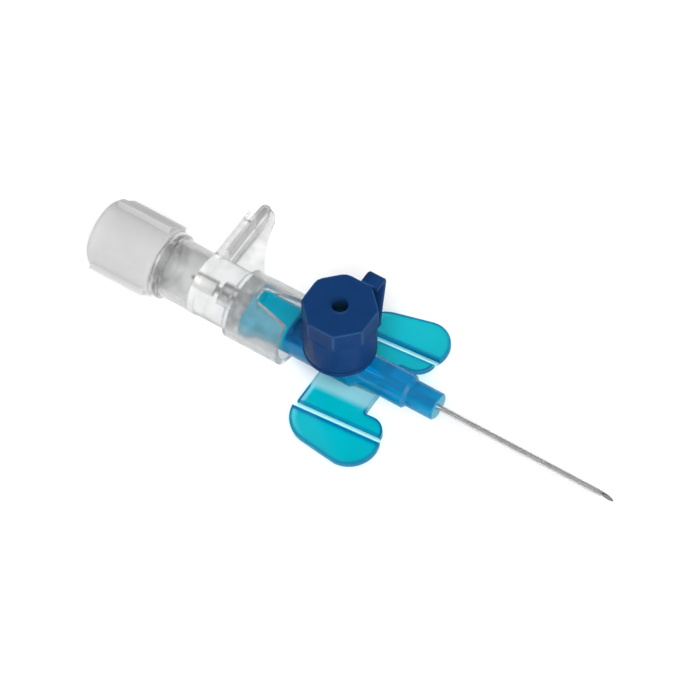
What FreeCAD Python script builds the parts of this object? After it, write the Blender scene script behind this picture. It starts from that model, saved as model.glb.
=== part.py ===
import FreeCAD, Part
import math
import os
from FreeCAD import Vector

# Winged, ported intravenous cannula with its needle unit, in millimetres.
# X runs along the catheter towards the tip, Y to the side of the finger grip, Z up through the port.
# The origin is the centre of the hub nose's front face.

# Cannula hub: nose, front block and luer body, measured back from the nose face
nose_d = 3.9
nose_length = 4.2
nose_step = 0.45
nose_edge = 0.2
block_d = 4.84
body_d = 6.4
body_front = 11.4
body_slope = 1.0
hub_length = 29.15
lug_d = 7.9
lug_length = 1.2
lug_flat_half = 2.6
body_flat_z = 2.75
cut_margin = 2.0

# Conical six percent fittings, shared by the hub, the port, the needle hub and the vent cap
luer_mouth_d = 4.27
luer_taper = 0.06
luer_depth = 7.5

# Injection port
port_from_nose = 15.53
port_d = 6.6
port_top_z = 7.6
port_luer_depth = 5.6
port_hole_d = 2.4
seat_z = 2.15
seat_margin = 0.15

# Silicone valve sleeve across the port hole
valve_d = 3.2
valve_wall = 0.45
valve_length = 6.6

# Catheter and its bush
catheter_d = 0.9
catheter_wall = 0.105
catheter_free = 25.0
catheter_taper = 1.6
catheter_tip_d = 0.72
flare_d = 1.5
flare_length = 1.0
flare_from_nose = 8.2
bush_mouth_d = 2.4
bush_mouth_length = 1.8
bush_wall = 0.12
lumen_step = 1.0
glue_gap = 0.01

# Wings: one flat plate under the hub, pitched so the catheter points down when the wings lie flat
# Wing outlines run in flat coordinates: s forward from the port's axis, y outwards
wing_pitch = 8.3
wing_top_z = -3.93
wing_thick = 0.8
wing_rear = 2.5
wing_neck_s = 6.72
notch_r = 0.35
lobe_s = 8.15
lobe_y = 7.1
lobe_r = 2.63
flap_rear_s = 2.25
flap_rear_y = 6.95
flap_rear_r = 5.1
flap_front_s = 7.45
flap_front_y = 9.05
flap_front_r = 3.95
groove_y = 7.23
groove_w = 1.0
groove_web = 0.25
groove_gap = 0.18
groove_over = 0.01
keel_w = 2.6
keel_margin = 0.4

# Port cap with its swivel ring and strap
ring_d = 10.0
ring_h = 0.6
ring_fit = 0.06
ring_lift = 0.1
cap_gap = 0.1
cap_skirt_d = 10.0
cap_flats = 9.6
cap_top_z = 11.9
cap_head_h = 3.5
cap_edge = 0.25
cap_fit = 0.05
cap_roof_gap = 0.15
cap_plug_depth = 2.3
cap_plug_fit = 0.03
cap_hole_d = 2.35
cap_hole_depth = 2.6
cap_hole_rim_d = 2.9
cap_hole_rim_h = 0.15
cap_hole_draft = 0.1
cap_join = 0.2
cap_corner_out = 0.02
cap_spread_least = 0.05
strap_w = 2.6
strap_shift = 1.5
strap_thick = 0.75
strap_reach = 7.2
strap_top_z = 11.9
strap_bend_r = 0.9
strap_foot_y = 5.95
tab_overlap = 0.8

# Needle: thin steel tube with a slanting point
needle_d = 0.65
needle_wall = 0.12
needle_proud = 1.8
needle_bevel = 2.1
needle_tail = 1.5

# Clear needle hub: vent end, flash chamber, finger grip and sleeve, built back from the cannula hub's rear face
sleeve_over = 6.45
sleeve_d = 10.1
sleeve_wall = 0.85
sleeve_length = 9.1
sleeve_edge = 0.6
neck_d = 8.7
neck_length = 4.6
grip_thick = 1.45
grip_face_thick = 0.45
grip_disc_d = 8.9
grip_half_h = 2.75
grip_reach = 15.1
grip_pad_reach = 12.0
grip_pad_corner = 0.5
web_thick = 0.9
web_tip_in = 0.3
web_lip = 1.6
web_lip_in = 1.7
web_waist_x = 3.0
web_waist_y = 9.25
web_root_x = 6.0
chamber_d = 8.7
chamber_length = 4.25
chamber_wall = 0.85
chamber_front_wall = 1.2
collar_d = 9.6
collar_length = 1.3
collar_edge = 0.2
vent_neck_d = 6.3
vent_neck_length = 8.4
vent_lug_d = 7.8
vent_lug_length = 1.2
male_fit = 0.04
male_bore_d = 2.2
male_short = 0.9
slot_rear_half = 1.15
slot_front_half = 2.3
slot_length = 5.5
slot_corner = 0.4
bond_d = 1.5
bond_length = 2.6

# Vent cap: luer-lock plug with a filter disc, gripped by the flats of a bar moulded across it
vent_cap_d = 10.2
vent_cap_length = 10.15
vent_bar_w = 5.7
vent_bar_across = 10.24
vent_bar_angle = 40.0
vent_bar_set_back = 1.15
vent_bar_front_gap = 0.45
vent_cap_end = 1.4
vent_cap_edge = 0.6
vent_cap_gap = 0.2
vent_cap_fit = 0.3
vent_plug_length = 6.4
vent_plug_bore_d = 1.9
filter_d = 6.0
filter_h = 0.8
filter_rim = 0.6
filter_fit = 0.01

# Places worked out from the sizes above
port_x = -port_from_nose
luer_face_x = -hub_length
sleeve_front_x = luer_face_x + sleeve_over
sleeve_rear_x = sleeve_front_x - sleeve_length
grip_front_x = sleeve_rear_x - neck_length
grip_rear_x = grip_front_x - grip_thick
chamber_rear_x = grip_rear_x - chamber_length
collar_rear_x = chamber_rear_x - collar_length
vent_mouth_x = collar_rear_x - vent_neck_length
vent_cap_front_x = collar_rear_x - vent_cap_gap
vent_cap_rear_x = vent_cap_front_x - vent_cap_length
needle_tip_x = catheter_free + needle_proud
ring_bottom_z = seat_z + ring_lift
ring_top_z = ring_bottom_z + ring_h
cap_bottom_z = ring_top_z + cap_gap
cap_head_z = cap_top_z - cap_head_h
cap_roof_z = port_top_z + cap_roof_gap
wing_root_y = groove_y - groove_gap / 2
wing_flap_y = groove_y + groove_gap / 2
wing_front = flap_front_s + flap_front_r
tab_corner_r = math.hypot(strap_shift + strap_w / 2, strap_foot_y)


def revolve_x(points):
    """A closed profile of (x, radius) points turned about the X axis."""
    corners = [Vector(x, 0, r) for x, r in points]
    face = Part.Face(Part.makePolygon(corners + [corners[0]]))
    return face.revolve(Vector(0, 0, 0), Vector(1, 0, 0), 360)


def revolve_port(points):
    """A closed profile of (radius, z) points turned about the port's axis."""
    corners = [Vector(port_x + r, 0, z) for r, z in points]
    face = Part.Face(Part.makePolygon(corners + [corners[0]]))
    return face.revolve(Vector(port_x, 0, 0), Vector(0, 0, 1), 360)


def rod_x(x0, x1, d):
    return Part.makeCylinder(d / 2, x1 - x0, Vector(x0, 0, 0), Vector(1, 0, 0))


def box(x0, x1, y0, y1, z0, z1):
    return Part.makeBox(x1 - x0, y1 - y0, z1 - z0, Vector(x0, y0, z0))


def luer_radius(depth):
    """Radius of the conical fitting at a depth inside its mouth."""
    return luer_mouth_d / 2 - depth * luer_taper / 2


def turn(shape, angle, base, axis):
    copy = shape.copy()
    copy.rotate(base, axis, angle)
    return copy


def wing_root_edges():
    """Outline of the fixed inner part: straight rear edge, front lobe, notch and neck."""
    lobe_front = Vector(lobe_s + math.sqrt(lobe_r ** 2 - (wing_root_y - lobe_y) ** 2), wing_root_y, 0)
    lobe_mid = Vector(lobe_s + lobe_r * math.cos(math.pi / 4), lobe_y - lobe_r * math.sin(math.pi / 4), 0)
    lobe_low = Vector(lobe_s, lobe_y - lobe_r, 0)
    centre = Vector(wing_neck_s + notch_r, lobe_low.y - notch_r, 0)
    notch_mid = centre + Vector(-notch_r * math.cos(math.pi / 4), notch_r * math.sin(math.pi / 4), 0)
    notch_top = Vector(centre.x, lobe_low.y, 0)
    notch_end = Vector(wing_neck_s, centre.y, 0)
    rear_mid = Vector(-wing_rear, 0, 0)
    rear_out = Vector(-wing_rear, wing_root_y, 0)
    neck_mid = Vector(wing_neck_s, 0, 0)
    return [
        Part.LineSegment(rear_mid, rear_out).toShape(),
        Part.LineSegment(rear_out, lobe_front).toShape(),
        Part.Arc(lobe_front, lobe_mid, lobe_low).toShape(),
        Part.LineSegment(lobe_low, notch_top).toShape(),
        Part.Arc(notch_top, notch_mid, notch_end).toShape(),
        Part.LineSegment(notch_end, neck_mid).toShape(),
        Part.LineSegment(neck_mid, rear_mid).toShape(),
    ]


def wing_flap_edges():
    """Outline of the folding outer part: two round ends joined by a straight outer edge."""
    ds = flap_front_s - flap_rear_s
    dy = flap_front_y - flap_rear_y
    lean = math.atan2(dy, ds) + math.acos((flap_rear_r - flap_front_r) / math.hypot(ds, dy))

    def rear(a):
        return Vector(flap_rear_s + flap_rear_r * math.cos(a), flap_rear_y + flap_rear_r * math.sin(a), 0)

    def front(a):
        return Vector(flap_front_s + flap_front_r * math.cos(a), flap_front_y + flap_front_r * math.sin(a), 0)

    rear_a = math.pi - math.asin((wing_flap_y - flap_rear_y) / flap_rear_r)
    front_a = math.asin((wing_flap_y - flap_front_y) / flap_front_r)
    return [
        Part.Arc(rear(rear_a), rear((rear_a + lean) / 2), rear(lean)).toShape(),
        Part.LineSegment(rear(lean), front(lean)).toShape(),
        Part.Arc(front(lean), front((lean + front_a) / 2), front(front_a)).toShape(),
        Part.LineSegment(front(front_a), rear(rear_a)).toShape(),
    ]


def wing_place(shape):
    """From the wing's flat coordinates to the pitched plate under the port."""
    shape.rotate(Vector(0, 0, 0), Vector(0, 1, 0), -wing_pitch)
    shape.translate(Vector(port_x, 0, wing_top_z))
    return shape


def wing_piece(edges, side):
    """A plate with its half of the moulded fold groove, on the far or the near side."""
    plate = Part.Face(Part.Wire(edges)).extrude(Vector(0, 0, -wing_thick))
    start = -wing_front
    half = groove_w / 2
    deep = wing_thick - groove_web
    v = [Vector(start, groove_y - half, groove_over), Vector(start, groove_y + half, groove_over)]
    v += [Vector(start, wing_flap_y, -deep), Vector(start, wing_root_y, -deep)]
    groove = Part.Face(Part.makePolygon(v + [v[0]])).extrude(Vector(2 * wing_front, 0, 0))
    plate = plate.cut(groove)
    if side < 0:
        plate = plate.mirror(Vector(0, 0, 0), Vector(0, 1, 0))
    return wing_place(plate)


def make_wing_flap(side):
    return wing_piece(wing_flap_edges(), side)


def hub_outside():
    """Turned outline of the hub from the luer lugs to the nose."""
    nose_r = nose_d / 2
    block_r = block_d / 2
    body_r = body_d / 2
    outline = [
        (luer_face_x, 0),
        (luer_face_x, lug_d / 2),
        (luer_face_x + lug_length, lug_d / 2),
        (luer_face_x + lug_length + (lug_d - body_d) / 2, body_r),
        (-body_front - body_slope, body_r),
        (-body_front, block_r),
        (-nose_length - nose_step, block_r),
        (-nose_length, nose_r),
        (-nose_edge, nose_r),
        (0, nose_r - nose_edge),
        (0, 0),
    ]
    return revolve_x(outline)


def hub_lugs_trim():
    """What is cut away above and below, to leave the two luer-lock lugs at the sides of the mouth."""
    x1 = luer_face_x + lug_length + (lug_d - body_d) / 2
    ring = rod_x(luer_face_x, x1, lug_d + cut_margin).cut(rod_x(luer_face_x, x1, body_d))
    wide = lug_d
    keep = box(luer_face_x, x1, -wide, wide, -lug_flat_half, lug_flat_half)
    return ring.cut(keep)


def hub_keel():
    """The rib that joins the wings to the underside of the hub."""
    x0 = port_x - wing_rear + keel_margin
    x1 = port_x + wing_neck_s - keel_margin
    drop = math.tan(math.radians(wing_pitch))
    z0 = wing_top_z - wing_thick / 2 + (x0 - port_x) * drop
    z1 = wing_top_z - wing_thick / 2 + (x1 - port_x) * drop
    top = -body_d / 4
    side = [Vector(x0, -keel_w / 2, z0), Vector(x1, -keel_w / 2, z1)]
    side += [Vector(x1, -keel_w / 2, top), Vector(x0, -keel_w / 2, top)]
    return Part.Face(Part.makePolygon(side + [side[0]])).extrude(Vector(0, keel_w, 0))


def hub_lumen():
    """The way through the hub: luer mouth, valve seat, cone to the bush and the catheter's bore."""
    inner = luer_face_x + luer_depth
    seat_r = valve_d / 2 + glue_gap
    bore_r = catheter_d / 2 + glue_gap
    cone_front = -flare_from_nose
    cone_rear = cone_front - flare_length - bush_mouth_length
    mouth_r = bush_mouth_d / 2 + glue_gap
    path = [
        (luer_face_x - 1, 0),
        (luer_face_x - 1, luer_radius(0)),
        (luer_face_x, luer_radius(0)),
        (inner, luer_radius(luer_depth)),
        (inner, seat_r),
        (cone_rear - lumen_step, seat_r),
        (cone_rear, mouth_r),
        (cone_front - flare_length, flare_d / 2 + glue_gap),
        (cone_front, bore_r),
        (1, bore_r),
        (1, 0),
    ]
    return revolve_x(path)


def hub_port():
    """Tube of the injection port, standing on the hub's axis."""
    return revolve_port([(0, 0), (port_d / 2, 0), (port_d / 2, port_top_z), (0, port_top_z)])


def port_hollow():
    """Conical mouth of the port and the small hole down to the valve."""
    bottom = port_top_z - port_luer_depth
    mouth = [
        (0, 0),
        (port_hole_d / 2, 0),
        (port_hole_d / 2, bottom),
        (luer_radius(port_luer_depth), bottom),
        (luer_radius(0), port_top_z),
        (luer_radius(0), port_top_z + 1),
        (0, port_top_z + 1),
    ]
    return revolve_port(mouth)


def make_cannula_hub():
    body = hub_outside().cut(hub_lugs_trim())
    over = box(luer_face_x + lug_length, port_x, -body_d, body_d, body_flat_z, body_d)
    body = body.cut(over)
    seat_r = tab_corner_r + seat_margin
    seat = revolve_port([(0, seat_z), (seat_r, seat_z), (seat_r, body_d), (0, body_d)])
    body = body.cut(seat)
    roots = [wing_piece(wing_root_edges(), side) for side in (1, -1)]
    body = body.fuse([hub_port(), hub_keel()] + roots)
    return body.cut(hub_lumen()).cut(port_hollow()).removeSplitter()


def make_silicone_valve():
    """Soft sleeve that lies across the port hole inside the hub."""
    x0 = port_x - valve_length / 2
    tube = rod_x(x0, x0 + valve_length, valve_d)
    return tube.cut(rod_x(x0 - 1, x0 + valve_length + 1, valve_d - 2 * valve_wall))


def make_catheter_tube():
    """Flexible tube, flared at the rear over its bush and thinned at the tip."""
    out_r = catheter_d / 2
    in_r = out_r - catheter_wall
    flare_r = flare_d / 2
    x1 = -flare_from_nose
    x0 = x1 - flare_length
    outline = [
        (x0, flare_r - catheter_wall),
        (x0, flare_r),
        (x1, out_r),
        (catheter_free - catheter_taper, out_r),
        (catheter_free, catheter_tip_d / 2),
        (catheter_free, in_r),
        (x1, in_r),
    ]
    return revolve_x(outline)


def make_catheter_bush():
    """Metal funnel pressed in behind the catheter's flare."""
    gap = glue_gap
    flare_in = flare_d / 2 - catheter_wall - gap
    bore = catheter_d / 2 - catheter_wall
    x1 = -flare_from_nose - gap
    x0 = x1 - flare_length + gap
    mouth = x0 - bush_mouth_length
    outline = [
        (mouth, bush_mouth_d / 2 - bush_wall),
        (mouth, bush_mouth_d / 2),
        (x0, flare_in),
        (x1 - flare_length / 4, bore + bush_wall / 2),
        (x1 - flare_length / 4, bore),
        (x0, flare_in - bush_wall),
    ]
    return revolve_x(outline)


def make_needle():
    """Steel tube from the flash chamber to its slanting point."""
    x0 = grip_rear_x - needle_tail
    tube = rod_x(x0, needle_tip_x, needle_d)
    tube = tube.cut(rod_x(x0 - cut_margin, needle_tip_x + cut_margin, needle_d - 2 * needle_wall))
    r = needle_d / 2
    tip = [
        Vector(needle_tip_x, -needle_d, -r),
        Vector(needle_tip_x + needle_bevel, -needle_d, -r),
        Vector(needle_tip_x + needle_bevel, -needle_d, 3 * r),
        Vector(needle_tip_x - needle_bevel, -needle_d, r),
    ]
    wedge = Part.Face(Part.makePolygon(tip + [tip[0]])).extrude(Vector(0, 2 * needle_d, 0))
    return tube.cut(wedge)


def needle_hub_outside():
    """Turned outline of the clear hub, vent mouth to sleeve front."""
    outline = [
        (vent_mouth_x, 0),
        (vent_mouth_x, vent_neck_d / 2),
        (collar_rear_x, vent_neck_d / 2),
        (collar_rear_x, collar_d / 2),
        (chamber_rear_x - collar_edge, collar_d / 2),
        (chamber_rear_x, collar_d / 2 - collar_edge),
        (chamber_rear_x, chamber_d / 2),
        (grip_rear_x, chamber_d / 2),
        (grip_rear_x, grip_disc_d / 2),
        (grip_front_x, grip_disc_d / 2),
        (grip_front_x, neck_d / 2),
        (sleeve_rear_x, neck_d / 2),
        (sleeve_rear_x + sleeve_edge, sleeve_d / 2),
        (sleeve_front_x, sleeve_d / 2),
        (sleeve_front_x, 0),
    ]
    return revolve_x(outline)


def vent_lugs():
    """Two luer-lock lugs at the vent mouth."""
    disc = rod_x(vent_mouth_x, vent_mouth_x + vent_lug_length, vent_lug_d)
    half = vent_neck_d / 3
    return disc.common(box(vent_mouth_x, collar_rear_x, -half, half, -vent_lug_d, vent_lug_d))


def grip_plate():
    """Finger grip: a thin tongue with a round end, backed over most of its reach by a thick pad."""
    centre = grip_reach - grip_half_h
    x = grip_front_x - grip_face_thick
    edges = [
        Part.LineSegment(Vector(x, 0, grip_half_h), Vector(x, centre, grip_half_h)).toShape(),
        Part.Arc(Vector(x, centre, grip_half_h), Vector(x, grip_reach, 0), Vector(x, centre, -grip_half_h)).toShape(),
        Part.LineSegment(Vector(x, centre, -grip_half_h), Vector(x, 0, -grip_half_h)).toShape(),
        Part.LineSegment(Vector(x, 0, -grip_half_h), Vector(x, 0, grip_half_h)).toShape(),
    ]
    tongue = Part.Face(Part.Wire(edges)).extrude(Vector(grip_face_thick, 0, 0))
    pad = box(grip_rear_x, x, 0, grip_pad_reach, -grip_half_h, grip_half_h)
    ends = [e for e in pad.Edges if e.BoundBox.YMin > grip_pad_reach / 2 and e.BoundBox.XLength > 0]
    return tongue.fuse(pad.makeFillet(grip_pad_corner, ends))


def grip_web():
    """Flat gusset in front of the grip, hollowed along its free edge down to the sleeve."""
    z = -web_thick / 2
    x = grip_front_x
    inner_x = x - grip_face_thick / 2
    sleeve_y = sleeve_d / 2 - sleeve_wall / 2
    inner = Vector(inner_x, 0, z)
    tip = Vector(inner_x, grip_reach - web_tip_in / 2, z)
    lip_mid = Vector(x + web_lip * math.sin(math.pi / 4), grip_reach - web_tip_in - web_lip_in / 4, z)
    lip = Vector(x + web_lip, grip_reach - web_lip_in, z)
    waist = Vector(x + web_waist_x, web_waist_y, z)
    root = Vector(x + web_root_x, sleeve_y, z)
    core = Vector(x + web_root_x, 0, z)
    edges = [
        Part.LineSegment(inner, tip).toShape(),
        Part.Arc(tip, lip_mid, lip).toShape(),
        Part.Arc(lip, waist, root).toShape(),
        Part.LineSegment(root, core).toShape(),
        Part.LineSegment(core, inner).toShape(),
    ]
    return Part.Face(Part.Wire(edges)).extrude(Vector(0, 0, web_thick))


def male_luer():
    """Conical spigot inside the sleeve that seats in the cannula hub's mouth."""
    tip = luer_face_x + luer_depth - male_short
    floor = sleeve_rear_x + sleeve_wall / 2
    depth = luer_face_x - floor
    outline = [
        (floor, 0),
        (floor, luer_radius(-depth) - male_fit),
        (tip, luer_radius(luer_depth - male_short) - male_fit),
        (tip, 0),
    ]
    return revolve_x(outline)


def sleeve_slot():
    """Window on top of the sleeve, round at the rear corners and wider at its open front."""
    x1 = sleeve_front_x + cut_margin
    x0 = sleeve_front_x - slot_length
    spread = (slot_front_half - slot_rear_half) / slot_length
    front = slot_front_half + spread * cut_margin
    c = slot_corner
    side = slot_rear_half + spread * c
    bend = Vector(c * (1 - math.sin(math.pi / 4)), 0, 0)
    ends = {}
    for sign in (1, -1):
        rear = Vector(x0, sign * (slot_rear_half - c), 0)
        mid = Vector(x0, sign * (slot_rear_half - c + c * math.sin(math.pi / 4)), 0) + bend
        ends[sign] = (rear, mid, Vector(x0 + c, sign * side, 0))
    edges = [
        Part.LineSegment(Vector(x1, front, 0), ends[1][2]).toShape(),
        Part.Arc(ends[1][2], ends[1][1], ends[1][0]).toShape(),
        Part.LineSegment(ends[1][0], ends[-1][0]).toShape(),
        Part.Arc(ends[-1][0], ends[-1][1], ends[-1][2]).toShape(),
        Part.LineSegment(ends[-1][2], Vector(x1, -front, 0)).toShape(),
        Part.LineSegment(Vector(x1, -front, 0), Vector(x1, front, 0)).toShape(),
    ]
    return Part.Face(Part.Wire(edges)).extrude(Vector(0, 0, sleeve_d))


def make_needle_hub():
    shell = needle_hub_outside().fuse([vent_lugs(), grip_plate(), grip_web()])
    floor = sleeve_rear_x + sleeve_wall
    sleeve_bore = rod_x(floor, sleeve_front_x + 1, sleeve_d - 2 * sleeve_wall)
    shell = shell.cut(sleeve_bore).cut(sleeve_slot())
    shell = shell.fuse(male_luer())
    chamber_front = grip_front_x - chamber_front_wall
    inner_mouth = vent_mouth_x + luer_depth
    chamber_in = chamber_d / 2 - chamber_wall
    throat = luer_radius(luer_depth)
    cavity = [
        (vent_mouth_x - 1, 0),
        (vent_mouth_x - 1, luer_radius(0)),
        (vent_mouth_x, luer_radius(0)),
        (inner_mouth, throat),
        (collar_rear_x + collar_length / 2, throat),
        (chamber_rear_x, chamber_in),
        (chamber_front, chamber_in),
        (chamber_front, 0),
    ]
    tip = luer_face_x + luer_depth
    passage = rod_x(chamber_front - 1, tip + 1, needle_d + 2 * glue_gap)
    bond_seat = rod_x(chamber_front - 1, chamber_front + bond_length, bond_d + 2 * glue_gap)
    relief_start = grip_front_x + neck_length / 2
    relief = rod_x(relief_start, tip + 1, male_bore_d)
    shell = shell.cut(revolve_x(cavity))
    return shell.cut(passage).cut(bond_seat).cut(relief).removeSplitter()


def make_needle_bond():
    """Plug of adhesive that holds the needle in the clear hub."""
    chamber_front = grip_front_x - chamber_front_wall
    plug = rod_x(chamber_front, chamber_front + bond_length, bond_d)
    return plug.cut(rod_x(chamber_front - 1, chamber_front + bond_length + 1, needle_d + 2 * glue_gap))


def vent_bar():
    """Rectangular block through the cap's axis: its corners stand out as the gripping edges."""
    x0 = vent_cap_rear_x + vent_bar_set_back
    x1 = vent_cap_front_x - vent_bar_front_gap
    across = vent_bar_across / 2
    wide = vent_bar_w / 2
    bar = box(x0, x1, -across, across, -wide, wide)
    return turn(bar, vent_bar_angle, Vector(0, 0, 0), Vector(1, 0, 0))


def make_vent_cap():
    """Luer-lock plug that closes the vent end: outer shell with its bar, and inner spigot."""
    r = vent_cap_d / 2
    in_r = vent_lug_d / 2 + vent_cap_fit
    inner_x = vent_mouth_x - vent_cap_gap
    plug_front = vent_mouth_x + vent_plug_length
    outline = [
        (vent_cap_rear_x, 0),
        (vent_cap_rear_x, r - vent_cap_edge),
        (vent_cap_rear_x + vent_cap_edge, r),
        (vent_cap_front_x, r),
        (vent_cap_front_x, 0),
    ]
    spigot = [
        (inner_x, 0),
        (inner_x, luer_radius(-vent_cap_gap) - male_fit),
        (plug_front, luer_radius(vent_plug_length) - male_fit),
        (plug_front, 0),
    ]
    shell = revolve_x(outline).fuse(vent_bar())
    shell = shell.cut(rod_x(inner_x, vent_cap_front_x + cut_margin, 2 * in_r)).fuse(revolve_x(spigot))
    duct = rod_x(vent_cap_rear_x + vent_cap_end, plug_front + cut_margin, vent_plug_bore_d)
    pocket_x = vent_cap_rear_x + filter_rim + filter_h + filter_fit
    pocket = rod_x(vent_cap_rear_x - cut_margin, pocket_x, filter_d + 2 * filter_fit)
    return shell.cut(duct).cut(pocket).removeSplitter()


def make_vent_filter():
    """Porous disc held in the end of the vent cap."""
    x0 = vent_cap_rear_x + filter_rim
    return rod_x(x0, x0 + filter_h, filter_d)


def make_cap_ring():
    """Swivel ring round the foot of the port, with the tab that carries the strap."""
    in_r = port_d / 2 + ring_fit
    ring = revolve_port(
        [(in_r, ring_bottom_z), (ring_d / 2, ring_bottom_z), (ring_d / 2, ring_top_z), (in_r, ring_top_z)]
    )
    x0 = port_x + strap_shift - strap_w / 2
    tab = box(x0, x0 + strap_w, ring_d / 2 - tab_overlap, strap_foot_y, ring_bottom_z, ring_top_z)
    return ring.fuse(tab).removeSplitter()


def make_cap_strap():
    """Flat strap: out from the cap's head, round a tight bend and down to the ring's tab."""
    t = strap_thick
    x = port_x + strap_shift - strap_w / 2
    head_y = cap_flats / 2
    z_out = strap_top_z
    z_in = strap_top_z - t
    r = strap_bend_r
    foot_out = strap_foot_y
    foot_in = strap_foot_y - t
    foot_z = ring_top_z
    lean = math.atan2(strap_reach - foot_out, z_out - r - foot_z)
    mid = math.radians(45)
    c = Vector(x, strap_reach - r, z_out - r)
    arc_out = Vector(x, c.y + r * math.sin(mid), c.z + r * math.cos(mid))
    arc_in = Vector(x, c.y + (r - t) * math.sin(mid), c.z + (r - t) * math.cos(mid))
    low_out = Vector(x, c.y + r * math.cos(lean), c.z - r * math.sin(lean))
    low_in = Vector(x, c.y + (r - t) * math.cos(lean), c.z - (r - t) * math.sin(lean))
    edges = [
        Part.LineSegment(Vector(x, head_y, z_out), Vector(x, c.y, z_out)).toShape(),
        Part.Arc(Vector(x, c.y, z_out), arc_out, low_out).toShape(),
        Part.LineSegment(low_out, Vector(x, foot_out, foot_z)).toShape(),
        Part.LineSegment(Vector(x, foot_out, foot_z), Vector(x, foot_in, foot_z)).toShape(),
        Part.LineSegment(Vector(x, foot_in, foot_z), low_in).toShape(),
        Part.Arc(low_in, arc_in, Vector(x, c.y, z_in)).toShape(),
        Part.LineSegment(Vector(x, c.y, z_in), Vector(x, head_y, z_in)).toShape(),
        Part.LineSegment(Vector(x, head_y, z_in), Vector(x, head_y, z_out)).toShape(),
    ]
    return Part.Face(Part.Wire(edges)).extrude(Vector(strap_w, 0, 0))


def octagon(z0, z1):
    """Prism with eight flats, two of them square to the hub's axis."""
    r = cap_flats / 2 / math.cos(math.pi / 8)
    ring = []
    for k in range(8):
        a = math.pi / 8 + k * math.pi / 4
        ring.append(Vector(port_x + r * math.cos(a), r * math.sin(a), z0))
    return Part.Face(Part.makePolygon(ring + [ring[0]])).extrude(Vector(0, 0, z1 - z0))


def make_port_cap():
    """Stopper over the port: round skirt, eight-sided head, centre hole and inner plug."""
    corner_r = cap_flats / 2 / math.cos(math.pi / 8)
    skirt_r = cap_skirt_d / 2
    cone_r = corner_r + cap_corner_out
    spread = max(corner_r - skirt_r, cap_spread_least)
    joined_z = cap_head_z + skirt_r - cap_flats / 2 + cap_join
    skirt = revolve_port(
        [
            (0, cap_bottom_z),
            (skirt_r - cap_edge, cap_bottom_z),
            (skirt_r, cap_bottom_z + cap_edge),
            (skirt_r, cap_head_z),
            (cap_flats / 2, joined_z),
            (0, joined_z),
        ]
    )
    cone = revolve_port(
        [
            (0, cap_head_z),
            (skirt_r, cap_head_z),
            (cone_r, cap_head_z + 2 * spread),
            (cone_r, cap_top_z - cap_edge),
            (corner_r - cap_edge, cap_top_z),
            (0, cap_top_z),
        ]
    )
    head = octagon(cap_head_z, cap_top_z).common(cone)
    cap = skirt.fuse(head)
    rim = revolve_port(
        [
            (0, cap_top_z - cap_join),
            (cap_hole_rim_d / 2, cap_top_z - cap_join),
            (cap_hole_rim_d / 2, cap_top_z),
            (cap_hole_d / 2, cap_top_z + cap_hole_rim_h),
            (0, cap_top_z + cap_hole_rim_h),
        ]
    )
    cap = cap.fuse(rim)
    bore_r = port_d / 2 + cap_fit
    plug_mouth = luer_radius(-cap_roof_gap) - cap_plug_fit
    plug_end = luer_radius(cap_plug_depth) - cap_plug_fit
    under_z = cap_bottom_z - cut_margin
    plug_end_z = port_top_z - cap_plug_depth
    hollow = [
        (plug_end, under_z),
        (bore_r, under_z),
        (bore_r, cap_roof_z),
        (plug_mouth, cap_roof_z),
        (plug_end, plug_end_z),
    ]
    below = revolve_port([(0, under_z), (plug_end, under_z), (plug_end, plug_end_z), (0, plug_end_z)])
    hole = revolve_port(
        [
            (0, cap_top_z - cap_hole_depth),
            (cap_hole_d / 2 - cap_hole_draft, cap_top_z - cap_hole_depth),
            (cap_hole_d / 2, cap_top_z + cut_margin),
            (0, cap_top_z + cut_margin),
        ]
    )
    return cap.cut(revolve_port(hollow)).cut(below).cut(hole).removeSplitter()


parts = {
    "cannula_hub": make_cannula_hub,
    "silicone_valve": make_silicone_valve,
    "catheter_tube": make_catheter_tube,
    "catheter_bush": make_catheter_bush,
    "wing_far": lambda: make_wing_flap(1),
    "wing_near": lambda: make_wing_flap(-1),
    "cap_ring": make_cap_ring,
    "cap_strap": make_cap_strap,
    "port_cap": make_port_cap,
    "needle": make_needle,
    "needle_bond": make_needle_bond,
    "needle_hub": make_needle_hub,
    "vent_cap": make_vent_cap,
    "vent_filter": make_vent_filter,
}

os.makedirs("parts", exist_ok=True)
for name, make in parts.items():
    shape = make()
    print(name, "solids", len(shape.Solids), "volume %.2f" % shape.Volume, "valid", shape.isValid())
    shape.exportStep("parts/" + name + ".step")
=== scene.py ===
import math

import bpy
import bmesh
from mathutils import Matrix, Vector


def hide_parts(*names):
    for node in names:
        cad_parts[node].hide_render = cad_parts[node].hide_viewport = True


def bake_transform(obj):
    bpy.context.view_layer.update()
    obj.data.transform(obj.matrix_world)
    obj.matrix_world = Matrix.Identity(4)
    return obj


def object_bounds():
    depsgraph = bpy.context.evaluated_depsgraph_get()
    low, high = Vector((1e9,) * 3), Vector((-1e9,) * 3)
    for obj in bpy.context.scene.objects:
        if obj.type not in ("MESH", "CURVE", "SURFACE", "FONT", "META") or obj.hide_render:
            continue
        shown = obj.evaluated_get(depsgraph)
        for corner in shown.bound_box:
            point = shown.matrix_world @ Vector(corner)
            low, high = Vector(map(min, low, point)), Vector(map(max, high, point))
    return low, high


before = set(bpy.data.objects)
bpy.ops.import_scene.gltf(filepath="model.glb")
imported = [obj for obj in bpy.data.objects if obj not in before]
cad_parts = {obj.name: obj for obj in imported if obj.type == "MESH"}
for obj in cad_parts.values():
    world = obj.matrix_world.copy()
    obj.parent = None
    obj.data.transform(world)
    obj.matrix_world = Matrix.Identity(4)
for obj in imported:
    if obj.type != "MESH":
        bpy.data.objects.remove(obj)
cad_low, cad_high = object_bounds()


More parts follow.
